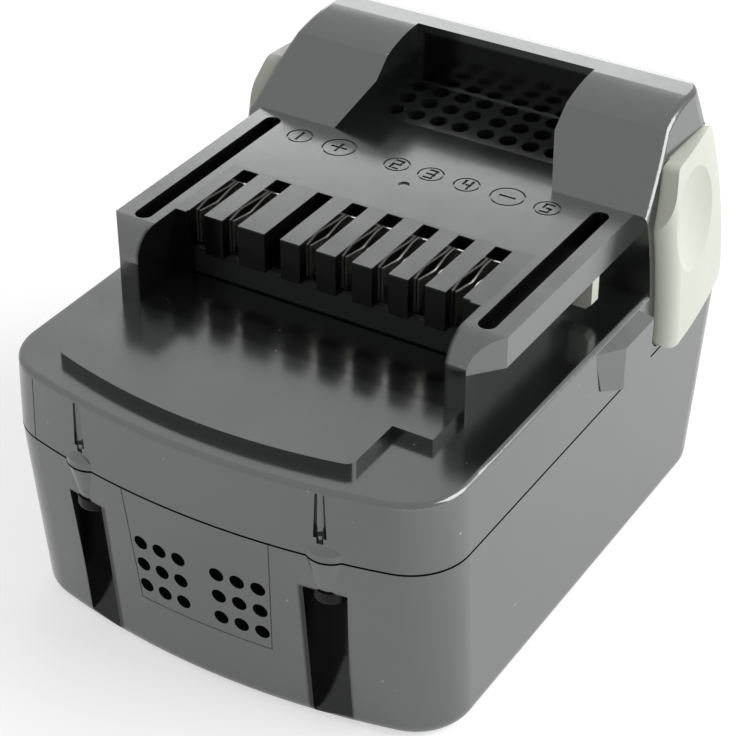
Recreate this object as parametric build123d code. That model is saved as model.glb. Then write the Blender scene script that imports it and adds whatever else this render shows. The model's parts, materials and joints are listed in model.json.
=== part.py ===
from build123d import *
import math
import os

os.makedirs("parts", exist_ok=True)

# Slide pack for a cordless tool: +Z up, -Y is the end that slides into the tool, +X is the right side.
# The origin is the middle of the footprint at the bottom face. All lengths are in millimetres.

# Case body
body_width = 74.6
body_length = 102.8
pack_height = 68.0
parting_height = 32.3
parting_gap = 0.35
deck_height = 44.0
wall = 2.2
floor_thickness = 2.4
front_corner = 9.5
front_bow = 120.0
rear_corner = 9.0
rear_bow = 300.0
base_side_draft = 0.35
base_front_draft = 3.4
base_rear_draft = 5.0
base_round = 2.5
deck_side_draft = 0.5
deck_round = 0.8
lip_height = 1.8
lip_clearance = 0.15
overrun = 20.0
thin_overrun = 1.0

# Rail block on the deck
rail_top = 57.0
rail_half_width = 33.15
rail_web_outer = 29.3
rail_web_inner = 26.6
prong_inner = 26.0
flange_bottom = 52.0
prong_front = -26.2
prong_round_start = -21.5
block_front = -16.2
finger_front = -15.7
finger_bottom = 50.3
slot_rear = -0.9
slot_width = 2.8
outer_slot_x = 22.6
second_slot_x = 16.6
middle_pitch = 6.15
middle_first_x = 9.15
roof_thickness = 2.2
pocket_x = 29.1
pocket_width = 2.8
pocket_front = -21.3
pocket_rear = 16.2
pocket_depth = 3.6

# Raised plate in front of the rail block
plate_rise = 1.6
plate_left = -28.6
plate_right = 22.2
plate_step_y = -33.8
plate_front = -47.2
plate_bow = 95.0
plate_rear = -14.5
plate_corner = 1.5

# Tower behind the rail block
tower_front = 18.05
tower_brow_y = 28.5
tower_brow_drop = 1.8
tower_crest_y = 37.5
tower_rear_lean = 6.4
tower_rail_half_width = 35.3
tower_top_half_width = 32.4
tower_top_corner = 5.0
tower_top_round = 3.5
tower_side_round = 1.0
brow_rise_share = 0.75
recess_base_half = 19.4
recess_top_half = 15.9
recess_flare_drop = 4.8
recess_rear = 38.2
recess_floor_break = 25.7
recess_floor_rise = 0.9
grille_hole = 2.9
grille_pitch = 4.0
grille_middle_gap = 4.6
grille_first_row = 28.4
grille_rows = 3
grille_half_row = 4

# Marks moulded beside the contacts
mark_y = 12.9
mark_diameter = 4.3
mark_large_diameter = 5.6
mark_line = 0.3
mark_depth = 0.25
mark_stroke = 0.45
mark_size = 2.4
mark_2_x = -4.8
mark_3_x = 1.23
mark_4_x = 7.5
mark_minus_x = 14.56
gate_diameter = 1.8
gate_x = -0.7
gate_y = 8.0

# Screw columns at the four corners
screw_x = 20.3
screw_inset = 4.7
channel_half_width = 3.0
channel_flare = 0.9
channel_flare_depth = 2.2
channel_depth = 8.9
channel_top = 26.1
channel_wall = 1.5
channel_roof = 2.6
channel_knee_z = 9.5
channel_toe_depth = 5.1
channel_toe_z = 1.6
channel_mid_depth = 7.5
channel_mid_z = 4.6
boss_radius = 3.9
boss_foot_radius = 2.45
boss_top = 34.8
boss_slope = 1.3
boss_inner_top = 41.0
screw_shaft = 3.0
screw_clearance = 0.2
pilot_clearance = 0.05
screw_head = 5.4
screw_head_height = 2.0
screw_length = 13.5
cross_share = 0.6
cross_width = 0.9
cross_depth = 1.1
groove_bottom = 35.8
groove_top = 43.2
groove_base_radius = 1.0
groove_top_radius = 0.7
groove_hole = 0.5

# Air holes in the front of the lower case
vent_diameter = 2.4
vent_pitch_x = 3.4
vent_pitch_z = 4.2
vent_group_x = 6.7
vent_middle_z = 18.6

# Side ear ahead of each latch
ear_rise = 1.5
ear_front = -0.4
ear_ramp_end = 6.2
ear_rear = 16.9
ear_corner = 1.2
ear_bottom = 32.9
ear_foot_y = 9.8
ear_foot_front_y = 1.4
ear_foot_front_z = 36.2
ear_top = 43.4
ear_slope_top = 1.7
ear_slope_bottom = 0.9
ear_shoulder = 2.6

# Latch: outer button, inner flange, arm and claw in one moulding
latch_front = 20.0
latch_full_y = 23.2
latch_slant_top_y = 25.4
latch_slant_z = 54.0
latch_bottom = 33.4
latch_top = 62.3
latch_rear_bottom = 46.8
latch_rear_top = 41.6
latch_proud_front = 2.75
latch_proud_rear = 0.5
latch_clearance = 0.25
latch_corner = 1.8
latch_knee_out = 0.8
latch_knee_back = 0.4
latch_tail_sink = 0.75
latch_inner_x = 31.0
latch_inner_bottom = 42.0
latch_skirt_x = 36.8
latch_skirt_rear = 39.2
latch_travel = 3.2
flange_margin = 1.2
latch_flange_thickness = 1.6
latch_flange_gap = 0.15
arm_inner = 23.9
arm_outer = 26.3
arm_bottom = 46.5
arm_top = 51.4
arm_front = 6.0
arm_plate_front = 24.0
arm_plate_rear = 30.0
claw_front = 6.2
claw_rear = 8.4
claw_tip_x = 32.6
claw_bottom = 46.3
claw_top = 51.6
claw_chamfer = 0.9
claw_window_clearance = 0.3
dish_floor_x = 35.9
dish_radius = 20.0
dish_y = 32.3
dish_z = 54.0

# Latch springs and their stops
spring_y = 34.0
spring_z = 49.0
spring_radius = 2.6
spring_wire = 0.7
spring_stop_x = 18.5
stop_thickness = 2.0
stop_half_width = 4.5
stop_bottom = 45.0
spring_peg_radius = 1.5
spring_peg_length = 2.0

# Cells and their frames
cell_diameter = 18.3
cell_length = 65.0
cell_cap_step = 0.6
cell_pitch = 19.2
cell_columns = 4
cell_layers = 2
bore_clearance = 0.1
frame_inner_x = 24.0
frame_outer_x = 34.4
frame_half_length = 38.6
frame_case_gap = 0.15
frame_latch_x = 33.4
frame_latch_z = 32.8
frame_recess_margin = 1.6
cell_bottom = 3.2
frame_top = 41.4
cap_radius = 4.6
strip_width = 8.0
strip_thickness = 0.2
strip_side_gap = 0.5
lead_x = 26.0
lead_front_x = 22.0
lead_front_y = -10.0
lead_rear_x = 18.8
lead_rear_y = 8.0
sheet_thickness = 0.25
pad_half_width = 20.0
pad_front = -36.0
pad_rear = -20.0

# Circuit board and what is on it
board_thickness = 1.6
board_bottom = 44.3
board_front_half = 23.9
board_rear_half = 20.4
board_front = -13.6
board_neck = 1.0
board_rear = 15.0
post_x = 15.0
post_y = 11.5
post_radius = 2.8
board_screw_shaft = 2.2
board_screw_head = 4.0
board_screw_head_height = 1.3
board_screw_length = 8.0
block_side_gap = 0.2
block_side_clearance = 0.1
block_top_clearance = 0.2
block_rear = -1.6
switch_x = 7.0
switch_y = 10.2
switch_width = 8.0
switch_length = 7.0
switch_height = 4.4
switch_tab = 1.0
chip_size = 7.0
chip_height = 1.3
chip_x = 0.0
chip_y = 2.6
capacitor_x = 13.5
capacitor_y = 3.6
capacitor_radius = 2.0
capacitor_height = 5.4
shunt_x = -13.5
shunt_y = 3.6
shunt_length = 8.0
shunt_width = 2.4
shunt_height = 3.0
shunt_strap = 0.8
probe_z = 36.0
bead_radius = 1.1
bead_length = 5.0
lead_width = 0.5
lead_gap = 1.6

# Spring contacts
leaf_thickness = 0.35
leaf_height_top = 55.8
leaf_rear = -2.6
leaf_pinch = -9.6
leaf_front = -13.2
leaf_half_gap = 0.95
leaf_pinch_half = 0.3
contact_base = 0.4
contact_slot_clearance = 0.2
bare_slot = 2

# Worked out from the sizes above
half_width = body_width / 2
half_length = body_length / 2
deck_half_width = half_width - deck_side_draft
tower_brow_z = pack_height - tower_brow_drop
tower_rear_top = half_length - tower_rear_lean
recess_flare_top = pack_height - recess_flare_drop
screw_y = half_length - screw_inset
channel_back = half_length - channel_depth
channel_toe_y = half_length - channel_toe_depth
channel_mid_y = half_length - channel_mid_depth
cell_radius = cell_diameter / 2
cell_low_z = cell_bottom + cell_radius
plate_top = deck_height + plate_rise
board_top = board_bottom + board_thickness
lip_top = parting_height + lip_height
lip_thickness = wall / 2
upper_bottom = parting_height + parting_gap / 2
lower_top = parting_height - parting_gap / 2
inner_deck = deck_height - wall
block_roof = rail_top - roof_thickness
span = body_length + body_width


def between(start, end, share):
    """Value part of the way from start to end."""
    return start + (end - start) * share


def rear_at(height):
    """Distance of the rear face from the middle above the parting line."""
    share = (height - parting_height) / (pack_height - parting_height)
    return between(half_length, tower_rear_top, share)


def bowed_end(half, reach, corner, bow):
    """Points of one bowed end, from its left side to its right side, for an end in +Y."""
    turn_x = half - corner
    bow_y = reach - bow
    turn_y = bow_y + math.sqrt((bow - corner) ** 2 - turn_x ** 2)
    sine = turn_x / (bow - corner)
    cosine = math.sqrt(1 - sine ** 2)
    join = (bow * sine, bow_y + bow * cosine)
    middle_x = (1 + sine) / 2
    middle_y = cosine / 2
    size = math.hypot(middle_x, middle_y)
    knee = (turn_x + corner * middle_x / size, turn_y + corner * middle_y / size)
    return (half, turn_y), knee, join


def plan_outline(half, front, rear, corner_front, corner_rear, height):
    """Closed plan outline of the case with bowed ends and round corners."""
    side_r, knee_r, join_r = bowed_end(half, rear, corner_rear, rear_bow)
    side_f, knee_f, join_f = bowed_end(half, front, corner_front, front_bow)
    edges = [
        Line((half, -side_f[1]), side_r),
        ThreePointArc(side_r, knee_r, join_r),
        ThreePointArc(join_r, (0, rear), (-join_r[0], join_r[1])),
        ThreePointArc((-join_r[0], join_r[1]), (-knee_r[0], knee_r[1]), (-half, side_r[1])),
        Line((-half, side_r[1]), (-half, -side_f[1])),
        ThreePointArc((-half, -side_f[1]), (-knee_f[0], -knee_f[1]), (-join_f[0], -join_f[1])),
        ThreePointArc((-join_f[0], -join_f[1]), (0, -front), (join_f[0], -join_f[1])),
        ThreePointArc((join_f[0], -join_f[1]), (knee_f[0], -knee_f[1]), (half, -side_f[1])),
    ]
    return Pos(0, 0, height) * make_face(edges)


def block(x_min, x_max, y_min, y_max, z_min, z_max):
    """Box between two corners."""
    box = Box(x_max - x_min, y_max - y_min, z_max - z_min, align=(Align.MIN, Align.MIN, Align.MIN))
    return Pos(x_min, y_min, z_min) * box


def post(x, y, z_min, z_max, radius):
    """Upright cylinder."""
    bottom = (Align.CENTER, Align.CENTER, Align.MIN)
    return Pos(x, y, z_min) * Cylinder(radius, z_max - z_min, align=bottom)


def bar_along_x(x_min, x_max, y, z, radius):
    """Cylinder lying along X."""
    start = (Align.CENTER, Align.CENTER, Align.MIN)
    return Pos(x_min, y, z) * Rot(0, 90, 0) * Cylinder(radius, x_max - x_min, align=start)


def side_profile(edges, x_min, x_max):
    """Solid of a closed Y-Z outline, drawn as (y, z), between two X places."""
    face = make_face(edges)
    turned = Plane.YZ * face
    return Pos(x_min, 0, 0) * extrude(turned, x_max - x_min, dir=(1, 0, 0))


def front_profile(edges, y_min, y_max):
    """Solid of a closed X-Z outline, drawn as (x, z), between two Y places."""
    face = make_face(edges)
    turned = Plane.XZ * face
    return Pos(0, y_min, 0) * extrude(turned, y_max - y_min, dir=(0, 1, 0))


def both_sides(shape):
    """A shape and its mirror image across the middle plane."""
    return shape + mirror(shape, about=Plane.YZ)


def chain(points):
    """Closed outline of straight runs."""
    return Polyline(*points, close=True).edges()


# Lower case


def lower_body(inset, bottom, top):
    """Drafted box of the lower case, drawn in by the inset."""
    faces = []
    for height in (bottom, top):
        share = (parting_height - height) / parting_height
        faces.append(plan_outline(
            half_width - inset - base_side_draft * share,
            half_length - inset - base_front_draft * share,
            half_length - inset - base_rear_draft * share,
            front_corner - inset,
            rear_corner - inset,
            height,
        ))
    return loft(faces, ruled=True)


def channel_cut(margin, roof):
    """Screw channel in the front face, open to the front and the bottom."""
    low = -overrun
    back = -channel_back + margin
    edges = [
        Line((-span, channel_top + roof), (back, channel_top + roof)),
        Line((back, channel_top + roof), (back, channel_knee_z)),
        ThreePointArc(
            (back, channel_knee_z),
            (-channel_mid_y + margin, channel_mid_z),
            (-channel_toe_y + margin, channel_toe_z),
        ),
        Line((-channel_toe_y + margin, channel_toe_z), (-channel_toe_y + margin, low)),
        Line((-channel_toe_y + margin, low), (-span, low)),
        Line((-span, low), (-span, channel_top + roof)),
    ]
    half = channel_half_width + margin
    return side_profile(edges, screw_x - half, screw_x + half)


def channel_mouth():
    """Flared outer edge of the screw channel at the face."""
    outer = screw_x + channel_half_width
    face_y = -front_at(outer)
    flare = make_face(chain((
        (outer - thin_overrun, face_y + channel_flare_depth),
        (outer, face_y + channel_flare_depth),
        (outer + channel_flare, face_y),
        (outer + channel_flare * 2, face_y - channel_flare_depth),
        (outer - thin_overrun, face_y - channel_flare_depth),
    )))
    return extrude(Pos(0, 0, -thin_overrun) * flare, channel_top + thin_overrun)


def four_corners(shape):
    """A shape at the front right corner, copied to all four corners."""
    pair = both_sides(shape)
    return pair + mirror(pair, about=Plane.XZ)


def vent_holes():
    """Two square groups of air holes in the front face."""
    holes = None
    for group in (-vent_group_x, vent_group_x):
        for column in (-1, 0, 1):
            for row in (-1, 0, 1):
                x = group + column * vent_pitch_x
                z = vent_middle_z + row * vent_pitch_z
                rod = Cylinder(vent_diameter / 2, overrun)
                hole = Pos(x, -half_length, z) * Rot(90, 0, 0) * rod
                holes = hole if holes is None else holes + hole
    return holes


def lower_case():
    """Open tray that holds the cells."""
    outer = lower_body(0, 0, lower_top)
    outer = fillet(outer.faces().sort_by(Axis.Z)[0].edges(), base_round)
    lip = lower_body(lip_thickness + lip_clearance, lower_top - thin_overrun, lip_top)
    lip = lip & upper_body(lip_thickness + lip_clearance)
    lip = lip - four_corners(post(screw_x, -screw_y, lower_top, pack_height,
                                  boss_radius + lip_clearance))
    lip = lip - both_sides(block(0, half_width, latch_front - lip_clearance,
                                 latch_rear_bottom + lip_clearance, lower_top, lip_top))
    hollow = lower_body(wall, floor_thickness, lip_top + thin_overrun)
    tray = outer + lip - hollow
    keep = lower_body(0, 0, lower_top)
    tray = tray + (four_corners(channel_cut(channel_wall, channel_roof)) & keep & outer)
    column = post(screw_x, -screw_y, channel_top, lower_top, boss_radius) & outer
    outside = Cone(boss_foot_radius, boss_radius, lower_top - channel_top,
                   align=(Align.CENTER, Align.CENTER, Align.MIN))
    outside = Pos(screw_x, -screw_y, channel_top) * outside
    tray = tray + four_corners(column) + four_corners(outside)
    tray = tray - four_corners(channel_cut(0, 0)) - four_corners(channel_mouth())
    hole = post(screw_x, -screw_y, channel_top - thin_overrun, lip_top + thin_overrun,
                screw_shaft / 2 + screw_clearance)
    tray = tray - four_corners(hole) - vent_holes()
    return tray


# Upper housing


def side_levels():
    """Half width of the upper housing at each height of its leaning sides."""
    return (
        (upper_bottom - thin_overrun, half_width),
        (deck_height, deck_half_width),
        (rail_top, tower_rail_half_width),
        (pack_height, tower_top_half_width),
    )


def upper_body(inset):
    """Drafted body of the deck band and tower, drawn in by the inset."""
    faces = []
    for height, half in side_levels():
        share = (height - parting_height) / (pack_height - parting_height)
        faces.append(plan_outline(
            half - inset,
            half_length - inset,
            rear_at(height) - inset,
            front_corner - inset,
            between(rear_corner, tower_top_corner, share) - inset,
            height,
        ))
    return loft(faces)


def tower_profile(inset, bottom):
    """Deck and tower seen from the side, drawn in by the inset."""
    slope = math.atan2(tower_brow_z - rail_top, tower_brow_y - tower_front)
    brow_z = tower_brow_z - inset * math.cos(slope)
    brow_y = tower_brow_y + inset * math.sin(slope)
    base_y = tower_front + inset
    base_z = brow_z - (brow_y - base_y) * math.tan(slope)
    top = pack_height - inset
    deck = deck_height - inset
    lean = math.atan2(half_length - tower_rear_top, pack_height - parting_height)
    radius = tower_top_round
    reach = radius / math.tan(math.pi / 4 + lean / 2)
    round_start = rear_at(top) - inset - reach * (1 + math.sin(lean))
    round_low = top - radius * (1 - math.sin(lean))
    round_end = rear_at(round_low) - inset
    turn = math.pi / 4 - lean / 2
    round_knee = round_start + radius * math.sin(turn)
    round_drop = radius * (1 - math.cos(turn))
    middle_y = (brow_y + tower_crest_y) / 2
    middle_z = between(brow_z, top, brow_rise_share)
    edges = [
        Line((-span, bottom), (-span, deck)),
        Line((-span, deck), (base_y, deck)),
        Line((base_y, deck), (base_y, base_z)),
        Line((base_y, base_z), (brow_y, brow_z)),
        ThreePointArc((brow_y, brow_z), (middle_y, middle_z), (tower_crest_y, top)),
        Line((tower_crest_y, top), (round_start, top)),
        ThreePointArc((round_start, top), (round_knee, top - round_drop), (round_end, round_low)),
        Line((round_end, round_low), (span, round_low)),
        Line((span, round_low), (span, bottom)),
        Line((span, bottom), (-span, bottom)),
    ]
    return side_profile(edges, -span, span)


def rail_profile(x_min, x_max):
    """Rail seen from the side, with its round lead-in at the front."""
    turn_z = rail_top - (prong_round_start - prong_front)
    radius = prong_round_start - prong_front
    knee = radius * math.sin(math.pi / 4)
    edges = [
        Line((prong_front, deck_height - wall), (prong_front, turn_z)),
        ThreePointArc(
            (prong_front, turn_z),
            (prong_round_start - knee, turn_z + knee),
            (prong_round_start, rail_top),
        ),
        Line((prong_round_start, rail_top), (tower_front + wall, rail_top)),
        Line((tower_front + wall, rail_top), (tower_front + wall, deck_height - wall)),
        Line((tower_front + wall, deck_height - wall), (prong_front, deck_height - wall)),
    ]
    return side_profile(edges, x_min, x_max)


def groove_under_flange():
    """Groove beside and under the rail flange, up to the tower."""
    low = block(rail_web_outer, half_width, prong_front - overrun, tower_front,
                deck_height, flange_bottom)
    corner = chain((
        (rail_web_outer, prong_front),
        (rail_half_width, prong_round_start),
        (rail_half_width + overrun, prong_round_start),
        (rail_half_width + overrun, prong_front - overrun),
        (rail_web_outer, prong_front - overrun),
    ))
    chamfer_cut = extrude(Pos(0, 0, deck_height) * make_face(corner), rail_top)
    return low + chamfer_cut


def slot_places():
    """Middle of each contact slot, from left to right."""
    inner = [middle_first_x - middle_pitch * step for step in range(4)]
    places = [-outer_slot_x, -second_slot_x] + [-x for x in inner]
    return places + [inner[0] + middle_pitch, inner[0] + 2 * middle_pitch]


def long_pocket(x):
    """Round-ended pocket in the top of a rail."""
    radius = pocket_width / 2
    middle = block(x - radius, x + radius, pocket_front + radius, pocket_rear - radius,
                   rail_top - pocket_depth, rail_top + overrun)
    ends = post(x, pocket_front + radius, rail_top - pocket_depth, rail_top + overrun, radius)
    ends = ends + post(x, pocket_rear - radius, rail_top - pocket_depth, rail_top + overrun, radius)
    return middle + ends


def raised_plate():
    """Low plate on the deck in front of the rails, with its bowed front edge."""
    def bow_y(x):
        return plate_front + plate_bow - math.sqrt(plate_bow ** 2 - x ** 2)

    left = (plate_left, bow_y(plate_left))
    right = (plate_right, bow_y(plate_right))
    low = deck_height - wall / 2
    edges = [
        ThreePointArc(left, (0, plate_front), right),
        Line(right, (plate_right, plate_step_y)),
        Line((plate_right, plate_step_y), (-plate_left, plate_step_y)),
        Line((-plate_left, plate_step_y), (-plate_left, plate_rear)),
        Line((-plate_left, plate_rear), (plate_left, plate_rear)),
        Line((plate_left, plate_rear), left),
    ]
    face = make_face(edges)
    turns = [v for v in face.vertices() if v.Y < plate_step_y - plate_corner]
    face = fillet(turns, plate_corner)
    return extrude(Pos(0, 0, low) * face, plate_top - low)


def recess_edges(margin, top):
    """Tower recess seen from the front."""
    base = recess_base_half + margin
    upper = recess_top_half + margin
    low = rail_top - margin
    return chain((
        (-base, low), (base, low), (upper, recess_flare_top),
        (upper, top), (-upper, top), (-upper, recess_flare_top),
    ))


def recess_cut():
    """Open recess in the tower, its floor rising gently towards the rear."""
    open_box = front_profile(recess_edges(0, pack_height + overrun),
                             tower_front - wall, recess_rear)
    floor = side_profile(chain((
        (recess_floor_break, rail_top - thin_overrun),
        (recess_floor_break, rail_top),
        (recess_rear, rail_top + recess_floor_rise),
        (recess_rear, rail_top - thin_overrun),
    )), -span, span)
    return open_box - floor


def recess_shell():
    """Walls and floor round the tower recess."""
    return front_profile(recess_edges(roof_thickness, pack_height + overrun),
                         tower_front - overrun, recess_rear + roof_thickness)


def grille_holes():
    """Rows of round air holes through the recess floor."""
    holes = None
    for row in range(grille_rows):
        for place in range(grille_half_row):
            x = grille_middle_gap / 2 + place * grille_pitch
            y = grille_first_row + row * grille_pitch
            hole = post(x, y, rail_top - overrun / 2, rail_top + overrun / 2, grille_hole / 2)
            holes = hole if holes is None else holes + hole
    return both_sides(holes)


sign_stroke_shares = {
    "+": (((-2, 0), (2, 0)), ((0, -1), (0, 1))),
    "-": (((-2, 0), (2, 0)),),
    "1": (((0, -1), (0, 1)),),
    "2": (((-1, 1), (1, 1)), ((1, 1), (1, 0)), ((-1, 0), (1, 0)), ((-1, 0), (-1, -1)),
          ((-1, -1), (1, -1))),
    "3": (((-1, 1), (1, 1)), ((1, 1), (1, -1)), ((-1, 0), (1, 0)), ((-1, -1), (1, -1))),
    "4": (((-1, 1), (-1, 0)), ((-1, 0), (1, 0)), ((1, 1), (1, -1))),
    "5": (((-1, 1), (1, 1)), ((-1, 1), (-1, 0)), ((-1, 0), (1, 0)), ((1, 0), (1, -1)),
          ((-1, -1), (1, -1))),
}


def mark_places():
    """Place, diameter and sign of each round mark behind the slots."""
    return (
        (-outer_slot_x, mark_diameter, "1"),
        (-second_slot_x + (mark_large_diameter - mark_diameter), mark_large_diameter, "+"),
        (mark_2_x, mark_diameter, "2"),
        (mark_3_x, mark_diameter, "3"),
        (mark_4_x, mark_diameter, "4"),
        (mark_minus_x, mark_large_diameter, "-"),
        (outer_slot_x - (mark_large_diameter - mark_diameter), mark_diameter, "5"),
    )


def stroke(start, end):
    """Straight stroke of a sign between two places given in shares of its half size."""
    half = mark_size / 2
    line = mark_stroke / 2
    x_low, x_high = sorted((start[0] * half / 2, end[0] * half / 2))
    y_low, y_high = sorted((start[1] * half, end[1] * half))
    width = x_high - x_low + 2 * line
    height = y_high - y_low + 2 * line
    return Pos((x_low + x_high) / 2, (y_low + y_high) / 2) * Rectangle(width, height)


def mark_sign(sign):
    """Plus, minus or plain number made of straight strokes."""
    faces = None
    for start, end in sign_stroke_shares[sign]:
        line = stroke(start, end)
        faces = line if faces is None else faces + line
    return faces


def marks():
    """Shallow round marks with plain signs."""
    cuts = None
    for x, diameter, sign in mark_places():
        ring = Circle(diameter / 2) - Circle(diameter / 2 - mark_line)
        for face in (ring, mark_sign(sign)):
            cut = extrude(Pos(x, mark_y, rail_top - mark_depth) * face, mark_depth + thin_overrun)
            cuts = cut if cuts is None else cuts + cut
    gate = post(gate_x, gate_y, rail_top - mark_depth, rail_top + thin_overrun, gate_diameter / 2)
    return cuts + gate


def ear():
    """Raised ear on the right side of the band: a ramp from the front, sloped above and below."""
    base = half_width - wall / 2
    proud = half_width + ear_rise
    plan = make_face(chain((
        (base, ear_front),
        (half_width - deck_side_draft, ear_front),
        (proud, ear_ramp_end),
        (proud, ear_rear - ear_corner),
        (proud - ear_corner, ear_rear),
        (base, ear_rear),
    )))
    solid = extrude(Pos(0, 0, ear_bottom) * plan, ear_top - ear_bottom)
    side = chain((
        (ear_front, ear_top),
        (ear_foot_front_y, ear_foot_front_z),
        (ear_foot_y, ear_bottom),
        (ear_rear, ear_bottom),
        (ear_rear, ear_top - ear_shoulder),
        (ear_rear - ear_shoulder, ear_top),
    ))
    section = chain((
        (base, ear_bottom),
        (half_width, ear_bottom),
        (proud, ear_bottom + ear_slope_bottom),
        (proud, ear_top - ear_slope_top),
        (half_width - deck_side_draft, ear_top),
        (base, ear_top),
    ))
    solid = solid & side_profile(side, base, proud)
    return solid & front_profile(section, ear_front, ear_rear)


def latch_outline(margin):
    """Latch button seen from the side, grown by the margin."""
    face = make_face(chain((
        (latch_front, latch_bottom),
        (latch_rear_bottom, latch_bottom),
        (latch_rear_top, latch_top),
        (latch_slant_top_y, latch_top),
        (latch_front, latch_slant_z),
    )))
    face = fillet(face.vertices(), latch_corner)
    return offset(face, margin) if margin else face


def latch_column(margin, x_min, x_max):
    """Solid of the latch outline between two X places."""
    turned = Plane.YZ * latch_outline(margin)
    return Pos(x_min, 0, 0) * extrude(turned, x_max - x_min, dir=(1, 0, 0))


def screw_pillar():
    """Upper half of a screw column, its chamfered top fading into the face."""
    outside = post(screw_x, -screw_y, upper_bottom, boss_top, boss_radius)
    outside = chamfer(outside.edges().sort_by(Axis.Z)[-1], boss_slope)
    inside = post(screw_x, -screw_y, upper_bottom, boss_inner_top + thin_overrun, boss_radius)
    return outside + (inside & upper_body(wall / 2))


def face_groove():
    """Tapered groove above each front screw column."""
    cone = Cone(groove_base_radius, groove_top_radius, groove_top - groove_bottom,
                align=(Align.CENTER, Align.CENTER, Align.MIN))
    face_y = -front_at(screw_x)
    hole = post(screw_x, face_y, groove_bottom - 2 * groove_hole,
                groove_bottom + groove_hole, groove_hole)
    return Pos(screw_x, face_y, groove_bottom) * cone + hole


def front_at(x):
    """Distance of the front face from the middle at one X place."""
    return half_length - front_bow + math.sqrt(front_bow ** 2 - x ** 2)


def spring_stop():
    """Wall that carries the inner end of the right latch spring, with its peg."""
    hanger = block(spring_stop_x - stop_thickness, spring_stop_x,
                   spring_y - stop_half_width, spring_y + stop_half_width,
                   stop_bottom, rail_top - roof_thickness / 2)
    return hanger + bar_along_x(spring_stop_x, spring_stop_x + spring_peg_length,
                                spring_y, spring_z, spring_peg_radius)


def board_post():
    """Post under the roof that the circuit board is screwed to."""
    return post(post_x, post_y, board_top, rail_top - roof_thickness / 2, post_radius)


def outer_upper():
    """Outside of the upper housing with its edges rounded."""
    solid = upper_body(0) & tower_profile(0, upper_bottom)
    high = solid.edges().filter_by(lambda e: (e @ 0.5).Z > rail_top + thin_overrun)
    sides = high.filter_by(lambda e: abs((e @ 0.5).X) > recess_base_half)
    solid = fillet(sides, tower_side_round)
    level = solid.edges().filter_by(lambda e: abs((e @ 0.5).Z - deck_height) < lip_clearance)
    return fillet(level.filter_by(lambda e: (e @ 0.5).Y < tower_front - thin_overrun), deck_round)


def block_hollow():
    """Space inside the rail block, its slots and its front opening."""
    contacts_half = outer_slot_x + slot_width / 2 + block_side_gap
    front = block(-contacts_half, contacts_half, plate_rear, slot_rear,
                  inner_deck - thin_overrun, finger_bottom)
    mouth = block(-contacts_half, contacts_half, block_front - overrun, plate_rear,
                  plate_top, finger_bottom)
    face = block(-contacts_half, contacts_half, block_front - overrun, finger_front,
                 finger_bottom - thin_overrun, rail_top + overrun)
    back = block(-rail_web_inner, rail_web_inner, slot_rear + roof_thickness,
                 tower_front + wall + thin_overrun, inner_deck - thin_overrun, block_roof)
    neck = block(-contacts_half, contacts_half, slot_rear - thin_overrun,
                 slot_rear + roof_thickness + thin_overrun, inner_deck - thin_overrun, finger_bottom)
    hollow = front + mouth + face + back + neck
    for x in slot_places():
        hollow = hollow + block(x - slot_width / 2, x + slot_width / 2, block_front - overrun,
                                slot_rear, finger_bottom - thin_overrun, rail_top + overrun)
    return hollow


def claw_window():
    """Window in the right rail web that the claw passes through."""
    gap = claw_window_clearance
    return block(rail_web_inner - thin_overrun, rail_half_width, claw_front - gap,
                 claw_rear + gap, claw_bottom - gap, claw_top + gap)


def upper_housing():
    """Deck band, plate, rails, slotted block and tower in one moulding."""
    inner = upper_body(wall) & tower_profile(wall, 0)
    solid = outer_upper() - (inner - recess_shell())
    between_prongs = block(-prong_inner, prong_inner, prong_front - overrun, block_front,
                           plate_top, rail_top + overrun)
    rails = rail_profile(-rail_half_width, rail_half_width) - between_prongs
    solid = solid + rails + raised_plate() - both_sides(groove_under_flange())
    solid = solid - block_hollow() - recess_cut() - grille_holes()
    solid = solid - both_sides(long_pocket(pocket_x)) - marks()
    solid = solid + both_sides(board_post() + spring_stop()) + both_sides(ear())
    solid = solid + four_corners(screw_pillar())
    low = block(-half_width, half_width, -span, span, 0, lip_top + lip_clearance)
    columns = four_corners(post(screw_x, -screw_y, 0, pack_height, boss_radius))
    solid = solid - ((upper_body(lip_thickness) & low) - upper_body(wall) - columns)
    pilot = post(screw_x, -screw_y, 0, boss_inner_top, screw_shaft / 2 + pilot_clearance)
    solid = solid - four_corners(pilot) - both_sides(face_groove())
    solid = solid - both_sides(claw_window())
    solid = solid - both_sides(latch_column(latch_clearance, latch_inner_x - latch_clearance,
                                            half_width + overrun))
    board_pilot = post(post_x, post_y, 0, board_top + board_screw_length - board_thickness,
                       board_screw_shaft / 2 + pilot_clearance)
    return solid - both_sides(board_pilot)


# Latches and their springs


def latch_envelope():
    """Outer skin of the right latch, leaning with the tower side."""
    faces = []
    for height, half in side_levels():
        proud = half + latch_proud_front
        flank = (half - latch_proud_rear, latch_front)
        full = (proud, latch_full_y)
        knee = (between(flank[0], proud, latch_knee_out),
                between(latch_front, latch_full_y, latch_knee_back))
        rear = (half + latch_proud_rear, latch_rear_top)
        tail = (half - latch_tail_sink, latch_rear_bottom + thin_overrun)
        edges = [
            Line((0, latch_front), flank),
            ThreePointArc(flank, knee, full),
            Spline(full, rear, tail),
            Line(tail, (0, tail[1])),
            Line((0, tail[1]), (0, latch_front)),
        ]
        faces.append(Pos(0, 0, height) * make_face(edges))
    return loft(faces)


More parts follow.
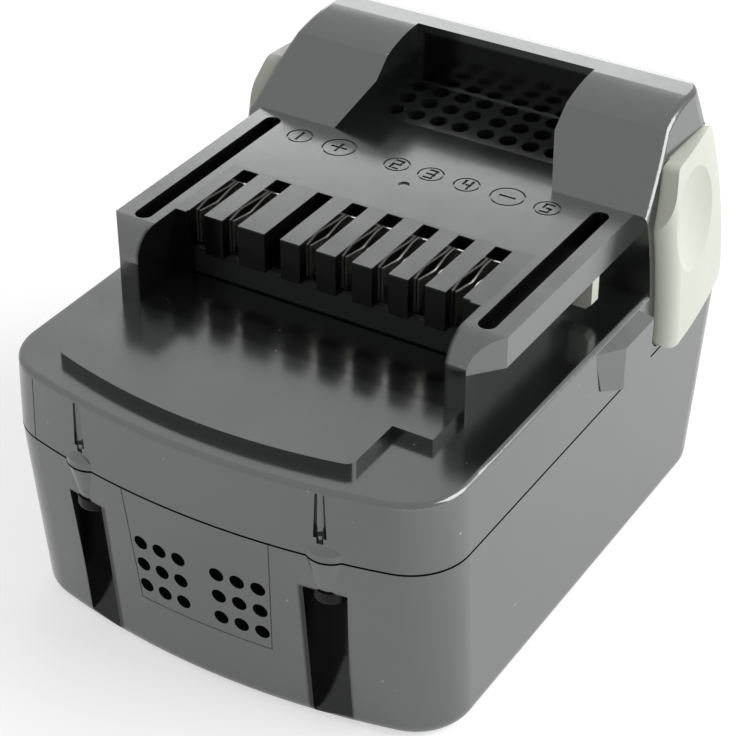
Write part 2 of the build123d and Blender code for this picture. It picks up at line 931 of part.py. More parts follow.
def latch():
    """Right latch: button, retaining flange, arm and claw."""
    button = latch_column(0, latch_inner_x, half_width + overrun) & latch_envelope()
    button = button - block(0, latch_skirt_x, 0, latch_skirt_rear, 0, latch_inner_bottom)
    inset = wall + latch_flange_gap
    roomy = tower_profile(inset, 0)
    inside = upper_body(inset) & roomy
    sweep_front = tower_front + wall + latch_clearance
    deep = block(0, latch_inner_x + latch_travel, 0, span, 0, pack_height)
    behind = block(0, half_width, sweep_front, span, 0, pack_height)
    button = (button - deep) + (button & deep & roomy & behind)
    flange = latch_column(flange_margin, latch_inner_x, half_width) & inside
    room = block(0, half_width, sweep_front, span, latch_inner_bottom, pack_height)
    arm = block(arm_inner, arm_outer, arm_front, arm_plate_rear, arm_bottom, arm_top)
    plate = block(arm_inner, latch_inner_x + thin_overrun, arm_plate_front, arm_plate_rear,
                  arm_bottom, arm_top)
    claw = block(arm_inner, claw_tip_x, claw_front, claw_rear, claw_bottom, claw_top)
    corner = claw.edges().filter_by(Axis.Y).sort_by(Axis.X)[-2:].sort_by(Axis.Z)[0]
    claw = chamfer(corner, claw_chamfer)
    peg = bar_along_x(latch_inner_x - spring_peg_length, latch_inner_x, spring_y, spring_z,
                      spring_peg_radius)
    dish = Pos(dish_floor_x + dish_radius, dish_y, dish_z) * Sphere(dish_radius)
    return button + (flange & room) + arm + plate + claw + peg - dish


def latch_spring():
    """Right latch spring between its stop and the latch."""
    outer = bar_along_x(spring_stop_x, latch_inner_x, spring_y, spring_z, spring_radius)
    inner = bar_along_x(spring_stop_x, latch_inner_x, spring_y, spring_z,
                        spring_radius - spring_wire)
    return outer - inner


# Cells, their frames and the strips that join them


def column_y(column):
    """Middle of one column of cells."""
    return (column - (cell_columns - 1) / 2) * cell_pitch


def layer_z(layer):
    """Middle of one layer of cells."""
    return cell_low_z + layer * cell_pitch


def cell(column, layer):
    """One round cell lying across the pack, its raised end to the right on even columns."""
    end = cell_length / 2
    body = bar_along_x(-end, end - cell_cap_step, 0, 0, cell_radius)
    cap = bar_along_x(end - cell_cap_step, end, 0, 0, cap_radius)
    turned = body + cap
    if column % 2:
        turned = mirror(turned, about=Plane.YZ)
    return Pos(0, column_y(column), layer_z(layer)) * turned


def cell_frame():
    """Right frame that holds the ends of all cells."""
    frame = block(frame_inner_x, frame_outer_x, -frame_half_length, frame_half_length,
                  floor_thickness, frame_top)
    frame = frame & lower_body(wall + frame_case_gap, 0, frame_top)
    frame = frame - block(frame_latch_x, half_width, latch_front - frame_recess_margin, span,
                          frame_latch_z, frame_top + thin_overrun)
    end = cell_length / 2
    edge = frame_half_length - frame_recess_margin
    frame = frame - block(end, half_width, -edge, edge, floor_thickness + frame_recess_margin,
                          frame_top - frame_recess_margin)
    for column in range(cell_columns):
        for layer in range(cell_layers):
            frame = frame - bar_along_x(0, half_width, column_y(column), layer_z(layer),
                                        cell_radius + bore_clearance)
    for side in (-1, 1):
        middle = side * column_y(cell_columns - 1)
        notch = strip_width / 2 + strip_side_gap
        frame = frame - block(end, half_width, middle - notch, middle + notch,
                              frame_top - overrun, frame_top + thin_overrun)
    return frame


def upright_strip(column):
    """Upright part of a strip across both cells of one column, on the right."""
    end = cell_length / 2
    reach = cap_radius + strip_side_gap
    return block(end, end + strip_thickness, column_y(column) - strip_width / 2,
                 column_y(column) + strip_width / 2, layer_z(0) - reach, layer_z(1) + reach)


def strip_link(column):
    """Strip that joins one column to the next one, on the right."""
    end = cell_length / 2
    middle = (layer_z(0) + layer_z(1)) / 2
    bridge = block(end, end + strip_thickness, column_y(column), column_y(column + 1),
                   middle - strip_width / 2, middle + strip_width / 2)
    return upright_strip(column) + upright_strip(column + 1) + bridge


def strip_lead(column, tab_y, tab_x):
    """Strip on an end column with a lead over the frame to the board, on the right."""
    end = cell_length / 2
    low = frame_top
    high = frame_top + strip_thickness
    y = column_y(column)
    half = strip_width / 2
    rise = block(end, end + strip_thickness, y - half, y + half, layer_z(1), high)
    over = block(lead_x, end + strip_thickness, y - half, y + half, low, high)
    run = block(lead_x, lead_x + half, min(y, tab_y), max(y, tab_y), low, high)
    inward = block(tab_x, lead_x + half, tab_y - half / 2, tab_y + half / 2, low, high)
    tab = block(tab_x, tab_x + strip_thickness, tab_y - half / 2, tab_y + half / 2,
                low, board_bottom)
    return upright_strip(column) + rise + over + run + inward + tab


def insulator():
    """Thin sheet over the strips on the right."""
    inner = cell_length / 2 + strip_thickness
    edge = frame_half_length - frame_recess_margin - strip_side_gap / 2
    low = floor_thickness + frame_recess_margin + strip_side_gap / 2
    return block(inner, inner + sheet_thickness, -edge, edge, low,
                 frame_top - frame_recess_margin - strip_side_gap / 2)


def foam_pad():
    """Soft pad between the cells and the deck."""
    return block(-pad_half_width, pad_half_width, pad_front, pad_rear,
                 cell_bottom + cell_diameter + cell_pitch, inner_deck)


# Circuit board


def circuit_board():
    """Board with a narrow rear part between the latch arms."""
    board = block(-board_front_half, board_front_half, board_front, board_neck,
                  board_bottom, board_top)
    board = board + block(-board_rear_half, board_rear_half, 0, board_rear, board_bottom, board_top)
    hole = post(post_x, post_y, board_bottom - thin_overrun, board_top + thin_overrun,
                board_screw_shaft / 2 + screw_clearance)
    return board - both_sides(hole)


def terminal_block():
    """Slotted block on the board that holds the spring contacts."""
    half = outer_slot_x + slot_width / 2 + block_side_gap - block_side_clearance
    shape = block(-half, half, plate_rear + block_side_clearance, block_rear,
                  board_top, finger_bottom - block_top_clearance)
    for x in slot_places():
        shape = shape - block(x - slot_width / 2, x + slot_width / 2,
                              leaf_front - contact_slot_clearance,
                              leaf_rear + contact_slot_clearance, 0, pack_height)
    return shape


def leaf(sign):
    """One half of a spring contact, pinched near its front."""
    t = leaf_thickness
    rear = sign * leaf_half_gap
    pinch = sign * leaf_pinch_half
    out = sign * t
    outline = chain((
        (rear, leaf_rear),
        (rear, between(leaf_rear, leaf_pinch, 0.3)),
        (pinch, leaf_pinch),
        (rear, leaf_front),
        (rear + out, leaf_front),
        (pinch + out, leaf_pinch),
        (rear + out, between(leaf_rear, leaf_pinch, 0.3)),
        (rear + out, leaf_rear),
    ))
    return extrude(Pos(0, 0, board_top) * make_face(outline), leaf_height_top - board_top)


def contact():
    """Spring contact: two leaves on a base plate."""
    half = leaf_half_gap + leaf_thickness
    base = block(-half, half, between(leaf_rear, leaf_pinch, 0.6), leaf_rear,
                 board_top, board_top + contact_base)
    back = block(-half, half, leaf_rear - leaf_thickness, leaf_rear, board_top, leaf_height_top)
    return leaf(1) + leaf(-1) + base + back


def power_switch(x):
    """Flat power transistor on the underside of the board."""
    body = block(x - switch_width / 2, x + switch_width / 2, switch_y - switch_length / 2,
                 switch_y + switch_length / 2, board_top, board_top + switch_height)
    tab = block(x - switch_width / 2, x + switch_width / 2, switch_y + switch_length / 2,
                switch_y + switch_length / 2 + switch_tab, board_top, board_top + switch_tab)
    return body + tab


def control_chip():
    """Square control chip."""
    half = chip_size / 2
    return block(chip_x - half, chip_x + half, chip_y - half, chip_y + half,
                 board_top, board_top + chip_height)


def capacitor():
    """Round capacitor standing on the board."""
    return post(capacitor_x, capacitor_y, board_top, board_top + capacitor_height, capacitor_radius)


def shunt():
    """Bridge-shaped current sensing strap."""
    half = shunt_length / 2
    solid = block(shunt_x - half, shunt_x + half, shunt_y, shunt_y + shunt_width,
                  board_top, board_top + shunt_height)
    return solid - block(shunt_x - half + shunt_strap, shunt_x + half - shunt_strap, 0, span,
                         board_top, board_top + shunt_height - shunt_strap)


def temperature_probe():
    """Bead between the two middle columns with two leads up to the board."""
    bead = bar_along_x(-bead_length / 2, bead_length / 2, 0, probe_z, bead_radius)
    leads = block(lead_gap / 2, lead_gap / 2 + lead_width, -lead_width / 2, lead_width / 2,
                  probe_z, board_bottom)
    return bead + both_sides(leads)


# Screws


def driver_cross(x, y, z, size):
    """Cross recess opening downwards."""
    arm = size / 2
    first = block(x - arm, x + arm, y - cross_width / 2, y + cross_width / 2, z, z + cross_depth)
    second = block(x - cross_width / 2, x + cross_width / 2, y - arm, y + arm, z, z + cross_depth)
    return first + second


def case_screws():
    """Four screws from below that close the case."""
    low = channel_top - screw_head_height
    head = post(screw_x, -screw_y, low, channel_top, screw_head / 2)
    head = fillet(head.edges().sort_by(Axis.Z)[0], screw_head_height / 4)
    shaft = post(screw_x, -screw_y, channel_top, channel_top + screw_length, screw_shaft / 2)
    cross = driver_cross(screw_x, -screw_y, low, screw_head * cross_share)
    return four_corners(head + shaft - cross)


def board_screws():
    """Two screws from below that hold the board to its posts."""
    low = board_bottom - board_screw_head_height
    head = post(post_x, post_y, low, board_bottom, board_screw_head / 2)
    shaft = post(post_x, post_y, board_bottom, board_bottom + board_screw_length,
                 board_screw_shaft / 2)
    cross = driver_cross(post_x, post_y, low, board_screw_head * cross_share)
    return both_sides(head + shaft - cross)


def save(name, shape):
    """Write one piece under its own name."""
    export_step(shape, "parts/" + name + ".step")


def save_pair(name, shape):
    """Write a right piece and its mirrored left piece."""
    save(name + "_right", shape)
    save(name + "_left", mirror(shape, about=Plane.YZ))


save("lower_case", lower_case())
save("upper_housing", upper_housing())
save_pair("latch", latch())
save_pair("latch_spring", latch_spring())
save_pair("cell_frame", cell_frame())
save_pair("insulator_sheet", insulator())
for number in range(cell_columns * cell_layers):
    save("cell_" + str(number + 1), cell(number // cell_layers, number % cell_layers))
save("strip_right_front", strip_link(0))
save("strip_right_rear", strip_link(2))
save("strip_left_middle", mirror(strip_link(1), about=Plane.YZ))
save("strip_left_negative", mirror(strip_lead(0, lead_front_y, lead_front_x), about=Plane.YZ))
save("strip_left_positive", mirror(strip_lead(3, lead_rear_y, lead_rear_x), about=Plane.YZ))
save("foam_pad", foam_pad())
save("circuit_board", circuit_board())
save("terminal_block", terminal_block())
used = [x for place, x in enumerate(slot_places()) if place != bare_slot]
for number, x in enumerate(used):
    save("contact_" + str(number + 1), Pos(x, 0, 0) * contact())
save("power_switch_left", power_switch(-switch_x))
save("power_switch_right", power_switch(switch_x))
save("control_chip", control_chip())
save("capacitor", capacitor())
save("shunt", shunt())
save("temperature_probe", temperature_probe())
save("case_screws", case_screws())
save("board_screws", board_screws())
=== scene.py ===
import json
import math

import bmesh
import bpy
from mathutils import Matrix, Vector


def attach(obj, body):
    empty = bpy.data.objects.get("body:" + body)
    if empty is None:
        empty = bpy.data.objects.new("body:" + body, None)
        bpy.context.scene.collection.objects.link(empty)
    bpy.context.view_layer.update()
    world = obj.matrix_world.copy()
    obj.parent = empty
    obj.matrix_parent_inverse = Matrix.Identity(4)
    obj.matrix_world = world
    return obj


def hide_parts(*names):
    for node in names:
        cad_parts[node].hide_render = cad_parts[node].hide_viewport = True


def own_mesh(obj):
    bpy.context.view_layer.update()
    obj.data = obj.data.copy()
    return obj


# Slide pack for a cordless tool, in metres: +Z up, -Y is the end that slides into the tool.
MM = 0.001

# Hollows of the case, where shade is painted in as a near-black colour and a lower mirrored share,
# in millimetres: lowest and highest |X|, Y (for the channels |Y|) and Z
CHANNEL_HOLLOW = ((16.8, 42.3, -1.0), (23.2, 52.0, 26.0))
RECESS_HOLLOW = ((-1.0, 29.5, 58.4), (14.5, 39.0, 66.5))
BLOCK_HOLLOW = ((-1.0, -26.0, 45.8), (26.1, -0.5, 56.6))
POCKET_HOLLOW = ((27.3, -21.6, 53.0), (30.9, 16.5, 56.4))
# Width over which the painted shade of a hollow fades in, and its painted near-black colour
HOLLOW_SHADE_EDGE = 0.5 * MM
HOLLOW_SHADE_COLOR = (0.003, 0.003, 0.003)
# Mirrored share of the plain moulding, and the lower share of a hollow that paints shade into its
# reflections, as the shader's level
PLAIN_SHINE = 0.5
HOLLOW_SHADE_SHINE = 0.113

# Camera of the photograph, 736 pixels square
PHOTO_PIXELS = 736
FOCAL_PIXELS = 2272.87
SENSOR_WIDTH = 36.0
CAMERA_PLACE = (0.15092, -0.25461, 0.22585)
CAMERA_TURN = (56.2598, -0.2651, 31.1792)
NEAREST_SEEN = 10 * MM

# Studio: the floor's own light rises from left to right between two places on X
FLOOR_HALF = 3.0
FLOOR_COLOR = (0.55, 0.55, 0.55)
FLOOR_ROUGHNESS = 0.9
FLOOR_SEEN_LEFT = 0.58
FLOOR_SEEN_RIGHT = 0.95
FLOOR_TURN_LEFT = 0.03
FLOOR_TURN_RIGHT = 0.12
WORLD_LIGHT = 0.45
WORLD_SEEN = 1.0
WHITE = (1.0, 1.0, 1.0, 1.0)
# Name, place, side and power of each lamp, and the point that they face
LAMPS = (
    ("BackSoftbox", (-0.5, 1.05, 0.27), 0.74, 3.9),
    ("RightSoftbox", (0.95, 0.45, 0.7), 1.0, 15.0),
)
LAMP_AIM = (0.0, 0.0, 0.03)

# Bowed front face of the lower case
BODY_HALF_LENGTH = 51.4 * MM
FRONT_BOW = 120.0 * MM
PARTING_HEIGHT = 32.3 * MM
FRONT_DRAFT = 3.4 * MM

# Fine outline of the insert in the front face of the lower case
INSERT_TOP_HALF = 12.5 * MM
INSERT_BOTTOM_HALF = 11.4 * MM
INSERT_TOP = 32.0 * MM
INSERT_BOTTOM = 11.4 * MM
INSERT_LINE = 0.16 * MM
INSERT_STEPS = 16
STRIP_PROUD = 0.02 * MM
STRIP_SECTION = ((-1, 1), (1, 1), (1, -1), (-1, -1))

# Mould line down the left front corner of the band
MOULD_LOW = (-30.155 * MM, -47.555 * MM, 32.6 * MM)
MOULD_HIGH = (-29.705 * MM, -47.672 * MM, 43.1 * MM)
MOULD_ACROSS = (0.97, -0.243)
MOULD_LINE = 0.14 * MM

# Cells lie along X; their sleeve ends short of the bare end
CELL_SLEEVE_END = 31.7 * MM
SLEEVE_EDGE = 0.05 * MM
BARE_STEEL = (0.6, 0.59, 0.56)

# Latch springs along X, from the stop inside to the latch
SPRING_STOP = 18.5 * MM
SPRING_END = 31.0 * MM
SPRING_Y = 34.0 * MM
SPRING_Z = 49.0 * MM
SPRING_MIDDLE = 2.25 * MM
SPRING_WIRE = 0.34 * MM
SPRING_TURNS = 8.0
SPRING_STEPS = 28
WIRE_STEPS = 12

# Colour sockets of a mix node: first, second and result
MIX_FIRST = 6
MIX_SECOND = 7
MIX_RESULT = 2

# Finishes: middle range of a noise, its spots to a metre, and depths of relief
NOISE_LOW = 0.3
NOISE_HIGH = 0.7
SHADE_SPOTS = 38.0
SMUDGE_SPOTS = 95.0
STAIN_SPOTS = 160.0
LINE_SPOTS = 900.0
PORE_SPOTS = 1400.0
FIBRE_SPOTS = 1500.0
LACQUER_SPOTS = 120.0
TRACK_SPOTS = 210.0
REFLECTION_TINT = (0.96, 1.0, 0.98, 1.0)
PLASTIC_RELIEF = 0.04 * MM
METAL_RELIEF = 0.02 * MM
FOAM_RELIEF = 0.3 * MM
FIBRE_RELIEF = 0.05 * MM
TRACK_RELIEF = 0.03 * MM
DUST_COLOR = (0.3, 0.31, 0.3)
# Specks and patches to a metre, and the level from which a patch has specks
DUST_SPECKS = 420.0
DUST_PATCHES = 210.0
SPECK_INNER = 0.05
SPECK_OUTER = 0.11
DUST_FROM = 0.61
DUST_FULL = 0.66
# Direction of the lines in rolled metal: a low share draws the pattern out
ROLLED = (1.0, 0.15, 1.0)
EVEN = (1.0, 1.0, 1.0)
# Dark and light colour, lowest and highest roughness, index, spots of grain to a metre and
# its strength, by the record's material slot
PLASTICS = {
    "case_plastic": (
        "HousingPlastic", (0.0075, 0.008, 0.008), (0.011, 0.0115, 0.0115),
        0.12, 0.2, 2.15, 5200.0, 0.12),
    "latch_plastic": (
        "LatchPlastic", (0.54, 0.56, 0.48), (0.58, 0.6, 0.52),
        0.3, 0.42, 1.46, 4200.0, 0.15),
    "frame_plastic": (
        "FramePlastic", (0.02, 0.02, 0.022), (0.035, 0.035, 0.037),
        0.4, 0.55, 1.5, 2600.0, 0.3),
    "terminal_plastic": (
        "TerminalPlastic", (0.01, 0.01, 0.011), (0.018, 0.018, 0.019),
        0.3, 0.42, 1.5, 3200.0, 0.2),
    "cell_sleeve": (
        "CellSleeve", (0.03, 0.16, 0.4), (0.045, 0.2, 0.46),
        0.22, 0.34, 1.5, 1500.0, 0.1),
    "chip_plastic": (
        "ChipPlastic", (0.012, 0.012, 0.013), (0.02, 0.02, 0.021),
        0.45, 0.6, 1.5, 3600.0, 0.35),
    "probe_resin": (
        "ProbeResin", (0.02, 0.02, 0.02), (0.04, 0.035, 0.03),
        0.15, 0.25, 1.5, 900.0, 0.1),
}
# Colour, stained colour, lowest and highest roughness, and direction of the lines
METALS = {
    "nickel": ("Nickel", (0.62, 0.6, 0.55), (0.5, 0.48, 0.43), 0.22, 0.36, ROLLED),
    "contact_metal": (
        "ContactMetal", (0.9, 0.88, 0.84), (0.78, 0.76, 0.7), 0.1, 0.2, ROLLED),
    "spring_steel": ("SpringSteel", (0.55, 0.55, 0.56), (0.42, 0.42, 0.43), 0.22, 0.34, EVEN),
    "screw_steel": ("ScrewSteel", (0.012, 0.012, 0.013), (0.03, 0.029, 0.028), 0.35, 0.5, EVEN),
    "component_metal": (
        "ComponentMetal", (0.66, 0.66, 0.66), (0.5, 0.5, 0.52), 0.24, 0.38, EVEN),
}


# Materials


def tree(name):
    """New node material with its shader and object coordinates."""
    material = bpy.data.materials.new(name)
    material.use_nodes = True
    nodes = material.node_tree.nodes
    return material, nodes["Principled BSDF"], nodes.new("ShaderNodeTexCoord")


def link(material, source, target):
    """Join two sockets."""
    material.node_tree.links.new(source, target)


def noise(material, place, scale, detail=3.0, roughness=0.5):
    """Noise at a number of spots per metre."""
    node = material.node_tree.nodes.new("ShaderNodeTexNoise")
    node.inputs["Scale"].default_value = scale
    node.inputs["Detail"].default_value = detail
    node.inputs["Roughness"].default_value = roughness
    link(material, place, node.inputs["Vector"])
    return node.outputs["Fac"]


def cells(material, place, scale):
    """Distance to the nearest of a number of spots per metre."""
    node = material.node_tree.nodes.new("ShaderNodeTexVoronoi")
    node.inputs["Scale"].default_value = scale
    link(material, place, node.inputs["Vector"])
    return node.outputs["Distance"]


def spread(material, value, low, high, bottom=0.0, top=1.0):
    """Map a value from one range to another, clamped."""
    node = material.node_tree.nodes.new("ShaderNodeMapRange")
    node.inputs["From Min"].default_value = low
    node.inputs["From Max"].default_value = high
    node.inputs["To Min"].default_value = bottom
    node.inputs["To Max"].default_value = top
    link(material, value, node.inputs["Value"])
    return node.outputs["Result"]


def blend_colors(material, share, first, second):
    """Mix two colours by a share, each a colour or a socket."""
    node = material.node_tree.nodes.new("ShaderNodeMix")
    node.data_type = "RGBA"
    link(material, share, node.inputs["Factor"])
    for place, color in ((MIX_FIRST, first), (MIX_SECOND, second)):
        socket = node.inputs[place]
        if isinstance(color, tuple):
            socket.default_value = (*color, 1.0)
        else:
            link(material, color, socket)
    return node.outputs[MIX_RESULT]


def bump(material, shader, height, strength, distance):
    """Fine relief from a height."""
    node = material.node_tree.nodes.new("ShaderNodeBump")
    node.inputs["Strength"].default_value = strength
    node.inputs["Distance"].default_value = distance
    link(material, height, node.inputs["Height"])
    link(material, node.outputs["Normal"], shader.inputs["Normal"])


def math_node(material, operation, *values):
    """Result of one operation on one or two values."""
    node = material.node_tree.nodes.new("ShaderNodeMath")
    node.operation = operation
    for value, socket in zip(values, node.inputs):
        link(material, value, socket)
    return node.outputs["Value"]


def axes_of(material, place):
    """X, Y and Z of a place."""
    split = material.node_tree.nodes.new("ShaderNodeSeparateXYZ")
    link(material, place, split.inputs["Vector"])
    return split.outputs["X"], split.outputs["Y"], split.outputs["Z"]


def dust(material, place, color):
    """Colour with sparse pale specks of dust over it."""
    distance = cells(material, place, DUST_SPECKS)
    speck = spread(material, distance, SPECK_INNER, SPECK_OUTER, 1.0, 0.0)
    patch = noise(material, place, DUST_PATCHES, 2.0)
    chance = spread(material, patch, DUST_FROM, DUST_FULL)
    share = math_node(material, "MULTIPLY", speck, chance)
    return blend_colors(material, share, color, DUST_COLOR)


def inside(material, axes, box):
    """Share that is 1 inside a box and fades to 0 over its edge."""
    share = None
    for value, low, high in zip(axes, *box):
        rise = spread(material, value, low * MM - HOLLOW_SHADE_EDGE, low * MM)
        fall = spread(material, value, high * MM, high * MM + HOLLOW_SHADE_EDGE, 1.0, 0.0)
        both = math_node(material, "MULTIPLY", rise, fall)
        share = both if share is None else math_node(material, "MULTIPLY", share, both)
    return share


def painted_hollow_shade(material, place):
    """Share of the painted shade in the hollows: screw channels, tower recess, rail block and long
    pockets.
    """
    x, y, z = axes_of(material, place)
    x = math_node(material, "ABSOLUTE", x)
    both_ends = math_node(material, "ABSOLUTE", y)
    share = inside(material, (x, both_ends, z), CHANNEL_HOLLOW)
    for box in (POCKET_HOLLOW, RECESS_HOLLOW, BLOCK_HOLLOW):
        share = math_node(material, "MAXIMUM", share, inside(material, (x, y, z), box))
    return share


def moulded_plastic(slot_name):
    """Moulded plastic with a slight random tone, uneven gloss and grain; the case is dusty too and
    has painted shade in its hollows.
    """
    name, dark, light, rough_low, rough_high, ior, grain, grain_depth = PLASTICS[slot_name]
    material, shader, coordinates = tree(name)
    place = coordinates.outputs["Object"]
    broad = noise(material, place, SHADE_SPOTS, 4.0, 0.55)
    color = blend_colors(material, spread(material, broad, NOISE_LOW, NOISE_HIGH), dark, light)
    shader.inputs["IOR"].default_value = ior
    if slot_name == "case_plastic":
        # Painted shade in the hollows: a near-black colour over the dust and a lower mirrored
        # share
        hollow_shade = painted_hollow_shade(material, place)
        color = blend_colors(material, hollow_shade, dust(material, place, color), HOLLOW_SHADE_COLOR)
        shine = spread(material, hollow_shade, 0.0, 1.0, PLAIN_SHINE, HOLLOW_SHADE_SHINE)
        link(material, shine, shader.inputs["Specular IOR Level"])
    if slot_name == "cell_sleeve":
        along = math_node(material, "ABSOLUTE", axes_of(material, place)[0])
        bare = spread(material, along, CELL_SLEEVE_END, CELL_SLEEVE_END + SLEEVE_EDGE)
        color = blend_colors(material, bare, color, BARE_STEEL)
        link(material, bare, shader.inputs["Metallic"])
    link(material, color, shader.inputs["Base Color"])
    smudge = noise(material, place, SMUDGE_SPOTS, 5.0, 0.6)
    rough = spread(material, smudge, NOISE_LOW, NOISE_HIGH, rough_low, rough_high)
    link(material, rough, shader.inputs["Roughness"])
    shader.inputs["Specular Tint"].default_value = REFLECTION_TINT
    bump(material, shader, noise(material, place, grain, 2.0), grain_depth, PLASTIC_RELIEF)
    return material


def metal(slot_name):
    """Rolled or drawn metal with fine lines along one way."""
    name, color, stained, rough_low, rough_high, stretch = METALS[slot_name]
    material, shader, coordinates = tree(name)
    place = coordinates.outputs["Object"]
    mapping = material.node_tree.nodes.new("ShaderNodeMapping")
    mapping.inputs["Scale"].default_value = stretch
    link(material, place, mapping.inputs["Vector"])
    lines = noise(material, mapping.outputs["Vector"], LINE_SPOTS)
    share = spread(material, noise(material, place, STAIN_SPOTS, 4.0), 0.35, 0.75)
    link(material, blend_colors(material, share, color, stained), shader.inputs["Base Color"])
    shader.inputs["Metallic"].default_value = 1.0
    rough = spread(material, lines, NOISE_LOW, NOISE_HIGH, rough_low, rough_high)
    link(material, rough, shader.inputs["Roughness"])
    bump(material, shader, lines, 0.25, METAL_RELIEF)
    return material


def foam_material():
    """Open-cell foam."""
    material, shader, coordinates = tree("Foam")
    pores = cells(material, coordinates.outputs["Object"], PORE_SPOTS)
    share = spread(material, pores, 0.1, 0.6)
    color = blend_colors(material, share, (0.02, 0.02, 0.022), (0.07, 0.07, 0.075))
    link(material, color, shader.inputs["Base Color"])
    shader.inputs["Roughness"].default_value = 0.95
    bump(material, shader, pores, 0.8, FOAM_RELIEF)
    return material


def fibre_material():
    """Pressed fibre paper with short pale fibres."""
    material, shader, coordinates = tree("FibrePaper")
    fine = noise(material, coordinates.outputs["Object"], FIBRE_SPOTS, 5.0, 0.7)
    share = spread(material, fine, 0.35, 0.7)
    color = blend_colors(material, share, (0.42, 0.36, 0.24), (0.62, 0.56, 0.42))
    link(material, color, shader.inputs["Base Color"])
    shader.inputs["Roughness"].default_value = 0.85
    bump(material, shader, fine, 0.4, FIBRE_RELIEF)
    return material


def board_material():
    """Lacquered circuit board with faint copper tracks."""
    material, shader, coordinates = tree("CircuitBoard")
    place = coordinates.outputs["Object"]
    brick = material.node_tree.nodes.new("ShaderNodeTexBrick")
    brick.inputs["Scale"].default_value = TRACK_SPOTS
    brick.inputs["Mortar Size"].default_value = 0.03
    brick.inputs["Color1"].default_value = (0.004, 0.03, 0.014, 1.0)
    brick.inputs["Color2"].default_value = (0.006, 0.042, 0.02, 1.0)
    brick.inputs["Mortar"].default_value = (0.012, 0.075, 0.035, 1.0)
    link(material, place, brick.inputs["Vector"])
    link(material, brick.outputs["Color"], shader.inputs["Base Color"])
    lacquer = noise(material, place, LACQUER_SPOTS)
    rough = spread(material, lacquer, NOISE_LOW, NOISE_HIGH, 0.22, 0.38)
    link(material, rough, shader.inputs["Roughness"])
    bump(material, shader, brick.outputs["Fac"], 0.2, TRACK_RELIEF)
    return material


def make_materials():
    """All finishes by the record's material slot."""
    made = {slot_name: moulded_plastic(slot_name) for slot_name in PLASTICS}
    made.update({slot_name: metal(slot_name) for slot_name in METALS})
    made["fibre_paper"] = fibre_material()
    made["foam"] = foam_material()
    made["board"] = board_material()
    return made


# Mesh pieces


def finish_mesh(name, data, body, material):
    """Object from a mesh, on its body and with its finish."""
    piece = bpy.data.objects.new(name, data)
    bpy.context.scene.collection.objects.link(piece)
    if not data.materials:
        data.materials.append(material)
    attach(piece, body)
    return piece


def front_face(x, z):
    """Y of the bowed and drafted front face of the lower case."""
    bow = BODY_HALF_LENGTH - FRONT_BOW + math.sqrt(FRONT_BOW ** 2 - x ** 2)
    return -bow + FRONT_DRAFT * (PARTING_HEIGHT - z) / PARTING_HEIGHT


def closed_strip(name, rings, material):
    """Closed thin strip through a run of four-cornered rings, on the pack."""
    vertices = [corner for ring in rings for corner in ring]
    faces = []
    for step in range(len(rings) - 1):
        for corner in range(4):
            after = (corner + 1) % 4
            low = 4 * step
            faces.append((low + corner, low + after, low + 4 + after, low + 4 + corner))
    last = 4 * (len(rings) - 1)
    faces.append((3, 2, 1, 0))
    faces.append((last, last + 1, last + 2, last + 3))
    data = bpy.data.meshes.new(name)
    data.from_pydata(vertices, [], faces)
    shell = bmesh.new()
    shell.from_mesh(data)
    bmesh.ops.recalc_face_normals(shell, faces=shell.faces)
    shell.to_mesh(data)
    shell.free()
    return finish_mesh(name, data, "pack", material)


def insert_outline(material):
    """Fine line round the insert in the front face, as a thin strip let into the face."""
    corners = [Vector(corner) for corner in (
        (-INSERT_TOP_HALF, INSERT_TOP),
        (-INSERT_BOTTOM_HALF, INSERT_BOTTOM),
        (INSERT_BOTTOM_HALF, INSERT_BOTTOM),
        (INSERT_TOP_HALF, INSERT_TOP),
    )]
    runs = [(end - start).normalized() for start, end in zip(corners[:-1], corners[1:])]
    sides = [Vector((-run.y, run.x)) for run in runs]
    ends = [sides[0]]
    for before, after in zip(sides[:-1], sides[1:]):
        middle = (before + after).normalized()
        ends.append(middle / middle.dot(before))
    ends.append(sides[-1])
    rings = []
    for leg in range(len(runs)):
        first = 0 if leg == 0 else 1
        for step in range(first, INSERT_STEPS + 1):
            share = step / INSERT_STEPS
            place = corners[leg].lerp(corners[leg + 1], share)
            side = sides[leg]
            if step == 0:
                side = ends[leg]
            if step == INSERT_STEPS:
                side = ends[leg + 1]
            ring = []
            for sign, proud in STRIP_SECTION:
                flat = place + side * (sign * INSERT_LINE / 2)
                ring.append((flat.x, front_face(flat.x, flat.y) - proud * STRIP_PROUD, flat.y))
            rings.append(ring)
    return closed_strip("InsertOutline", rings, material)


def mould_line(material):
    """Fine witness line of the mould, as a thin strip let into the band."""
    across = Vector((*MOULD_ACROSS, 0.0)) * MOULD_LINE / 2
    outward = Vector((MOULD_ACROSS[1], -MOULD_ACROSS[0], 0.0)) * STRIP_PROUD
    rings = []
    for place in (Vector(MOULD_LOW), Vector(MOULD_HIGH)):
        rings.append([place + across * sign + outward * proud
                      for sign, proud in STRIP_SECTION])
    return closed_strip("MouldLine", rings, material)


